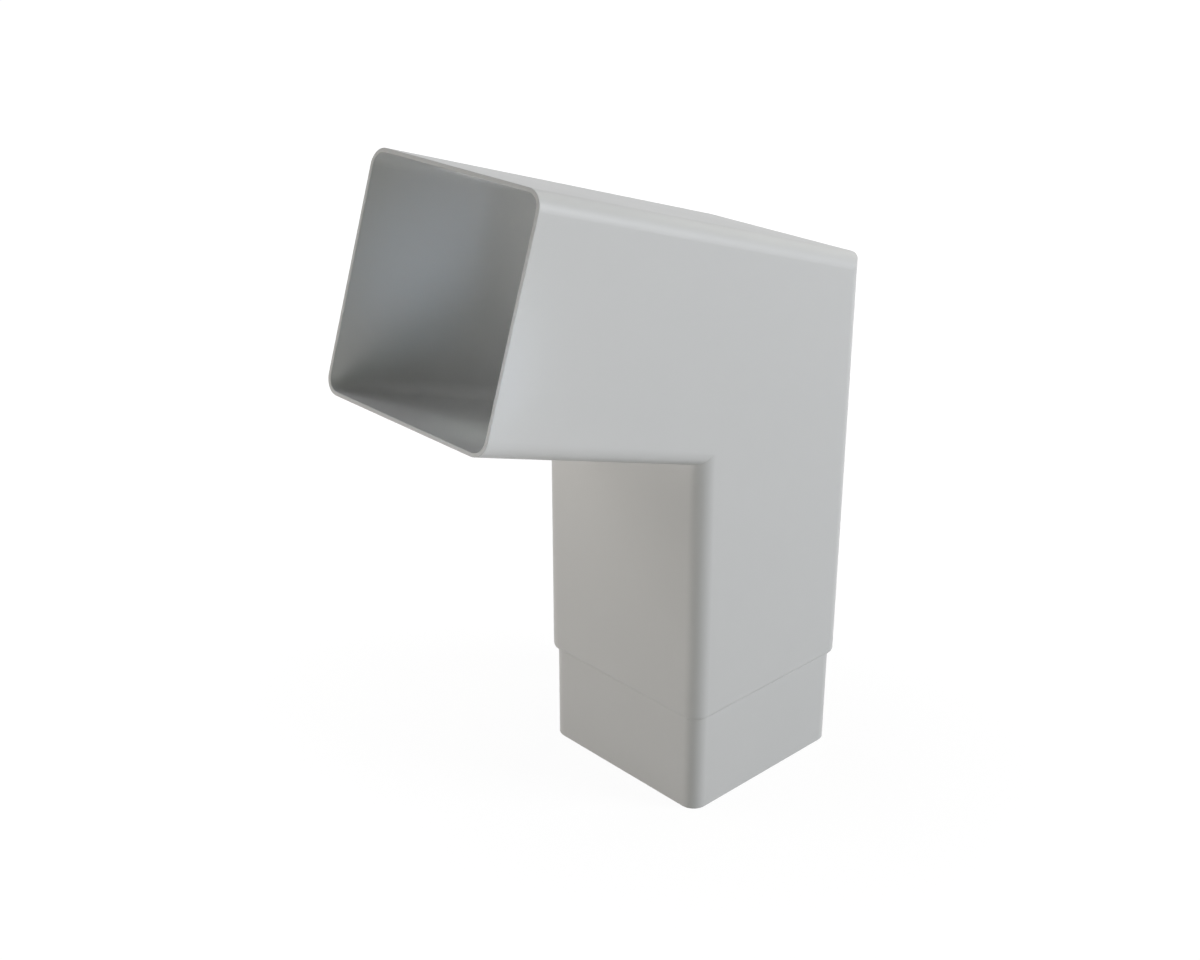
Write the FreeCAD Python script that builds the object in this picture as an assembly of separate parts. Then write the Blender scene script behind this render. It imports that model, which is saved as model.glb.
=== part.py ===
import FreeCAD, Part

import math
import os

from FreeCAD import Rotation, Vector

# Square downpipe bend for a rainwater system, moulded in one piece. From the bottom up it is
# a spigot that slides into the socket or pipe below, a rounded shoulder, a square limb,
# a mitred bend, and a second limb whose open end is the socket for the pipe above.
# Sizes are in millimetres. The origin is the centre of the spigot's open end, +Z runs up
# the lower limb, and the upper limb leads off towards -X and climbs.

# Pipe that the bend joins, and the fit on it
pipe_width = 80.0
pipe_corner_radius = 6.0
socket_clearance = 0.15

# Moulding
wall = 1.35
body_corner_radius = 6.3
shoulder_radius = 2.3
rim_radius = 0.2

# Lengths along the inside of the bend, and the angle that the water turns through
spigot_length = 40.0
lower_inner_length = 104.3
upper_inner_length = 102.4
bend_degrees = 72.0

# Slope of the ledge inside the shoulder, from level
ledge_degrees = 45.0

# How far a cutting shape runs past the end that it opens
overrun = 5.0

# Widths across the flats, worked out from the pipe
socket_bore = pipe_width + 2.0 * socket_clearance
body_width = socket_bore + 2.0 * wall
spigot_bore = pipe_width - 2.0 * wall

# Centre line: up the lower limb, round the corner and out of the socket
bend = math.radians(bend_degrees)
mitre_length = 0.5 * body_width * math.tan(0.5 * bend)
corner_height = spigot_length + lower_inner_length + mitre_length
up = Vector(0.0, 0.0, 1.0)
outlet = Vector(-math.sin(bend), 0.0, math.cos(bend))
spigot_end = Vector(0.0, 0.0, 0.0)
corner = up * corner_height
mouth = corner + outlet * (mitre_length + upper_inner_length)


def square_outline(width, corner_radius, height):
    """Closed outline of a square with rounded corners, level, centred on the Z axis."""
    half = 0.5 * width
    flat = half - corner_radius
    bulge = flat + corner_radius * math.sqrt(0.5)
    edges = []
    for side in range(4):
        turned = Rotation(up, 90.0 * side)
        flat_start = turned.multVec(Vector(half, -flat, height))
        flat_end = turned.multVec(Vector(half, flat, height))
        corner_middle = turned.multVec(Vector(bulge, bulge, height))
        next_flat = turned.multVec(Vector(flat, half, height))
        edges.append(Part.LineSegment(flat_start, flat_end).toShape())
        edges.append(Part.Arc(flat_end, corner_middle, next_flat).toShape())
    return Part.Wire(edges)


def straight_tube(width, corner_radius, bottom, top):
    """Solid square bar from one height to another."""
    outline = square_outline(width, corner_radius, bottom)
    return Part.Face(outline).extrude(up * (top - bottom))


def bent_tube(width, corner_radius, bottom, far_end):
    """Solid square bar that runs up from a height, turns the mitred corner and runs out."""
    outline = square_outline(width, corner_radius, bottom)
    centre_line = Part.makePolygon([up * bottom, corner, far_end])
    mitred = 1
    return centre_line.makePipeShell([outline], True, False, mitred)


def edges_on_plane(shape, point, normal):
    """Edges that lie flat in one plane."""
    found = []
    for edge in shape.Edges:
        ends = [edge.valueAt(edge.FirstParameter), edge.valueAt(edge.LastParameter), edge.CenterOfMass]
        if all(abs((end - point).dot(normal)) < 1e-4 for end in ends):
            found.append(edge)
    return found


def outer_form():
    """Body with its rounded lower edge, and the narrower spigot under it."""
    body = bent_tube(body_width, body_corner_radius, spigot_length, mouth)
    lower_edge = edges_on_plane(body, up * spigot_length, up)
    body = body.makeFillet(shoulder_radius, lower_edge)
    inside_body = spigot_length + shoulder_radius
    spigot = straight_tube(pipe_width, pipe_corner_radius, 0.0, inside_body)
    return body.fuse(spigot)


def waterway():
    """The way through: spigot bore, sloped ledge, and the wider bore on round the bend."""
    ledge_width = 0.5 * (socket_bore - spigot_bore)
    ledge_bottom = spigot_length + wall
    ledge_top = ledge_bottom + ledge_width * math.tan(math.radians(ledge_degrees))
    bore_radius = body_corner_radius - wall
    spigot_bore_radius = pipe_corner_radius - wall
    lower = straight_tube(spigot_bore, spigot_bore_radius, -overrun, ledge_bottom)
    narrow = square_outline(spigot_bore, spigot_bore_radius, ledge_bottom)
    wide = square_outline(socket_bore, bore_radius, ledge_top)
    ledge = Part.makeLoft([narrow, wide], True, True)
    upper = bent_tube(socket_bore, bore_radius, ledge_top, mouth + outlet * overrun)
    return lower.fuse([ledge, upper])


def elbow():
    """The moulding, with the edges of both open ends just taken off."""
    shell = outer_form().cut(waterway()).removeSplitter()
    rims = edges_on_plane(shell, spigot_end, up) + edges_on_plane(shell, mouth, outlet)
    return shell.makeFillet(rim_radius, rims).Solids[0]


os.makedirs("parts", exist_ok=True)
moulding = elbow()
moulding.exportStep("parts/elbow.step")
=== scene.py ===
import math

import bpy
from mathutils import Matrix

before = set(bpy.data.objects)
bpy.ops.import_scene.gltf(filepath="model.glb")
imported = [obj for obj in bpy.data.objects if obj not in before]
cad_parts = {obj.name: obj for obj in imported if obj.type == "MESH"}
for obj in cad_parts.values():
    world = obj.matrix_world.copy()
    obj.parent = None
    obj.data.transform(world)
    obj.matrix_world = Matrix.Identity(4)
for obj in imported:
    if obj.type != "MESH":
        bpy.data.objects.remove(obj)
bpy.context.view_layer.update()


# The camera stands a little above the open socket and looks down on the bend, as a
# catalogue picture of a rainwater fitting does, with a plain 50 mm lens on a full frame.
camera_place = (-0.4295, -0.4015, 0.3766)
camera_down_degrees = 24.098
camera_turn_degrees = 43.277
lens_millimetres = 50.0
frame_width_millimetres = 36.0
nearest_seen = 0.01
furthest_seen = 50.0

camera_data = bpy.data.cameras.new("studio_camera")
camera_data.lens = lens_millimetres
camera_data.sensor_width = frame_width_millimetres
camera_data.clip_start = nearest_seen
camera_data.clip_end = furthest_seen
studio_camera = bpy.data.objects.new("studio_camera", camera_data)
bpy.context.scene.collection.objects.link(studio_camera)
studio_camera.location = camera_place
studio_camera.rotation_euler = (
    math.radians(90.0 - camera_down_degrees),
    0.0,
    -math.radians(camera_turn_degrees),
)
bpy.context.scene.camera = studio_camera


# The elbow is one moulding of rigid grey PVC: spigot, shoulder, limb, mitred bend and socket.
# Its walls are as the polished mould left them, smooth and a little satin, with the faint
# clouding of colour and the slow ripple that the plastic takes on as it flows and cools.
pvc_grey = (0.536, 0.540, 0.538, 1.0)
pvc_grey_deeper = (0.518, 0.523, 0.522, 1.0)
pvc_index = 1.53
satin_roughness = (0.40, 0.50)
cloud_per_metre = 22.0
cloud_detail = 3.0
grain_per_metre = 2600.0
grain_detail = 2.0
grain_depth = 0.00001
ripple_per_metre = 30.0
ripple_detail = 1.0
ripple_depth = 0.00004


def moulded_pvc():
    """Satin grey PVC, with colour, gloss and relief that vary as they do on a moulding."""
    material = bpy.data.materials.new("moulded_grey_pvc")
    material.use_nodes = True
    nodes = material.node_tree.nodes
    links = material.node_tree.links
    shader = nodes["Principled BSDF"]
    shader.inputs["IOR"].default_value = pvc_index
    place = nodes.new("ShaderNodeTexCoord")

    cloud = nodes.new("ShaderNodeTexNoise")
    cloud.inputs["Scale"].default_value = cloud_per_metre
    cloud.inputs["Detail"].default_value = cloud_detail
    links.new(place.outputs["Object"], cloud.inputs["Vector"])
    tint = nodes.new("ShaderNodeMix")
    tint.data_type = "RGBA"
    tint.inputs["A"].default_value = pvc_grey
    tint.inputs["B"].default_value = pvc_grey_deeper
    links.new(cloud.outputs["Fac"], tint.inputs["Factor"])
    links.new(tint.outputs["Result"], shader.inputs["Base Color"])

    grain = nodes.new("ShaderNodeTexNoise")
    grain.inputs["Scale"].default_value = grain_per_metre
    grain.inputs["Detail"].default_value = grain_detail
    links.new(place.outputs["Object"], grain.inputs["Vector"])
    satin = nodes.new("ShaderNodeMapRange")
    satin.inputs["To Min"].default_value = satin_roughness[0]
    satin.inputs["To Max"].default_value = satin_roughness[1]
    links.new(cloud.outputs["Fac"], satin.inputs["Value"])
    links.new(satin.outputs["Result"], shader.inputs["Roughness"])

    ripple = nodes.new("ShaderNodeTexNoise")
    ripple.inputs["Scale"].default_value = ripple_per_metre
    ripple.inputs["Detail"].default_value = ripple_detail
    links.new(place.outputs["Object"], ripple.inputs["Vector"])
    ripple_relief = nodes.new("ShaderNodeBump")
    ripple_relief.inputs["Distance"].default_value = ripple_depth
    links.new(ripple.outputs["Fac"], ripple_relief.inputs["Height"])
    grain_relief = nodes.new("ShaderNodeBump")
    grain_relief.inputs["Distance"].default_value = grain_depth
    links.new(grain.outputs["Fac"], grain_relief.inputs["Height"])
    links.new(ripple_relief.outputs["Normal"], grain_relief.inputs["Normal"])
    links.new(grain_relief.outputs["Normal"], shader.inputs["Normal"])
    return material


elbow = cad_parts["elbow"]
elbow.data.materials.clear()
elbow.data.materials.append(moulded_pvc())


# The floor is a sheet of card that the elbow stands on. It shows white and takes the elbow's
# soft shadow, but gives back less than half of the lamps' light, so that the elbow is hardly
# lit from below. The room is seen and mirrored as the same white, and casts no other light.
floor_half = 4.0
card_pale = (0.40, 0.40, 0.40, 1.0)
card_own_share = 0.80                 # the rest of what shows is the lamps' light on the card
card_own_strength = (1.16, 1.30)      # at the elbow's foot, and from card_far metres on
card_far = 0.6


def seen_directly(nodes, links):
    """1 where the camera, a reflection or a clear material looks at a surface, else 0."""
    path = nodes.new("ShaderNodeLightPath")
    first = nodes.new("ShaderNodeMath")
    first.operation = "MAXIMUM"
    links.new(path.outputs["Is Camera Ray"], first.inputs[0])
    links.new(path.outputs["Is Glossy Ray"], first.inputs[1])
    both = nodes.new("ShaderNodeMath")
    both.operation = "MAXIMUM"
    links.new(first.outputs["Value"], both.inputs[0])
    links.new(path.outputs["Is Transmission Ray"], both.inputs[1])
    return both.outputs["Value"]


def white_card():
    """Card that is pale to the lamps, but white to the eye, and whiter away from the foot."""
    material = bpy.data.materials.new("white_card")
    material.use_nodes = True
    nodes = material.node_tree.nodes
    links = material.node_tree.links
    nodes.remove(nodes["Principled BSDF"])
    card = nodes.new("ShaderNodeBsdfDiffuse")
    card.inputs["Color"].default_value = card_pale
    place = nodes.new("ShaderNodeTexCoord")
    from_foot = nodes.new("ShaderNodeVectorMath")
    from_foot.operation = "LENGTH"
    links.new(place.outputs["Object"], from_foot.inputs[0])
    strength = nodes.new("ShaderNodeMapRange")
    strength.inputs["From Max"].default_value = card_far
    strength.inputs["To Min"].default_value = card_own_strength[0]
    strength.inputs["To Max"].default_value = card_own_strength[1]
    links.new(from_foot.outputs["Value"], strength.inputs["Value"])
    glow = nodes.new("ShaderNodeEmission")
    links.new(strength.outputs["Result"], glow.inputs["Strength"])
    share = nodes.new("ShaderNodeMath")
    share.operation = "MULTIPLY"
    share.inputs[1].default_value = card_own_share
    links.new(seen_directly(nodes, links), share.inputs[0])
    blend = nodes.new("ShaderNodeMixShader")
    links.new(share.outputs["Value"], blend.inputs["Fac"])
    links.new(card.outputs["BSDF"], blend.inputs[1])
    links.new(glow.outputs["Emission"], blend.inputs[2])
    links.new(blend.outputs["Shader"], nodes["Material Output"].inputs["Surface"])
    return material


floor_mesh = bpy.data.meshes.new("floor")
floor_mesh.from_pydata(
    [(x * floor_half, y * floor_half, 0.0) for x, y in ((-1, -1), (1, -1), (1, 1), (-1, 1))],
    [],
    [(0, 1, 2, 3)],
)
floor_mesh.materials.append(white_card())
floor = bpy.data.objects.new("floor", floor_mesh)
bpy.context.scene.collection.objects.link(floor)

room_light = 0.0
room_shown = 1.0
room_white = (1.0, 1.0, 1.0, 1.0)

room = bpy.data.worlds.new("white_room")
room.use_nodes = True
bpy.context.scene.world = room
room_nodes = room.node_tree.nodes
room_links = room.node_tree.links
room_strength = room_nodes.new("ShaderNodeMapRange")
room_strength.inputs["To Min"].default_value = room_light
room_strength.inputs["To Max"].default_value = room_shown
room_links.new(seen_directly(room_nodes, room_links), room_strength.inputs["Value"])
room_nodes["Background"].inputs["Color"].default_value = room_white
room_links.new(room_strength.outputs["Result"], room_nodes["Background"].inputs["Strength"])


# Lamps: soft panels all round, with the strongest at the right and a low strip at the left, so
# that the rounded corner which faces the camera stays the darkest. Small lamps before the socket
# and under the spigot light the bore, two of them narrow ones for its far wall and its floor.
elbow_middle = (-0.03, 0.0, 0.12)
socket_mouth = (-0.126, 0.0, 0.215)
socket_far_wall = (-0.094, 0.040, 0.213)
socket_floor = (-0.115, -0.013, 0.170)
spigot_mouth = (0.0, 0.0, 0.0)
far_panel = {"aim": elbow_middle, "distance": 1.5}
lamps = {
    "right_panel": {**far_panel, "azimuth": -55.0, "height": 18.0, "width": 0.6, "tall": 0.8,
                    "power": 18.0, "colour": (0.953, 0.963, 1.0)},
    "right_back_panel": {**far_panel, "azimuth": 0.0, "height": 35.0, "width": 1.2, "tall": 1.0,
                         "power": 5.0, "colour": (1.0, 0.986, 0.862)},
    "top_panel": {**far_panel, "azimuth": 98.0, "height": 55.0, "width": 1.2, "tall": 1.0,
                  "power": 5.3, "colour": (0.870, 0.903, 1.0)},
    "left_panel": {**far_panel, "azimuth": 135.0, "height": 35.0, "width": 1.2, "tall": 0.6,
                   "power": 4.86, "colour": (1.0, 0.953, 0.890)},
    "left_strip": {"aim": elbow_middle, "distance": 0.5, "azimuth": 138.0, "height": -10.0,
                   "width": 0.4, "tall": 0.06, "power": 0.74, "colour": (1.0, 0.934, 0.855)},
    "front_panel": {**far_panel, "azimuth": 240.0, "height": 4.0, "width": 1.6, "tall": 0.4,
                    "power": 1.95, "colour": (0.878, 1.0, 0.800)},
    "socket_lamp": {"aim": socket_mouth, "distance": 0.30, "azimuth": 225.0, "height": -25.0,
                    "width": 0.12, "tall": 0.12, "power": 0.200, "colour": (1.0, 0.960, 0.960)},
    "far_wall_lamp": {"aim": socket_far_wall, "distance": 0.25, "azimuth": 235.0, "height": -5.0,
                      "width": 0.04, "tall": 0.04, "power": 0.00155,
                      "colour": (0.69, 0.81, 1.0), "spread": 18.0},
    "socket_floor_lamp": {"aim": socket_floor, "distance": 0.25, "azimuth": 225.0,
                          "height": 68.0, "width": 0.03, "tall": 0.03, "power": 0.00052,
                          "colour": (0.89, 1.0, 0.94), "spread": 8.0},
    "bore_lamp": {"aim": spigot_mouth, "distance": -0.002, "azimuth": 0.0, "height": -90.0,
                  "width": 0.07, "tall": 0.07, "power": 0.253, "colour": (1.0, 0.999, 0.982)},
}


def hang_lamp(name, aim, distance, width, tall, azimuth, height, power, colour, spread=180.0):
    """A flat area lamp that faces its aim. Azimuth is counted from +X towards +Y."""
    data = bpy.data.lights.new(name, "AREA")
    data.shape = "RECTANGLE"
    data.size = width
    data.size_y = tall
    data.energy = power
    data.color = colour
    data.spread = math.radians(spread)
    lamp = bpy.data.objects.new(name, data)
    bpy.context.scene.collection.objects.link(lamp)
    level = distance * math.cos(math.radians(height))
    lamp.location = (
        aim[0] + level * math.cos(math.radians(azimuth)),
        aim[1] + level * math.sin(math.radians(azimuth)),
        aim[2] + distance * math.sin(math.radians(height)),
    )
    lamp.rotation_euler = (math.radians(90.0 - height), 0.0, math.radians(azimuth + 90.0))


for lamp_name, lamp in lamps.items():
    hang_lamp(lamp_name, **lamp)

bpy.context.scene.view_settings.view_transform = "Standard"
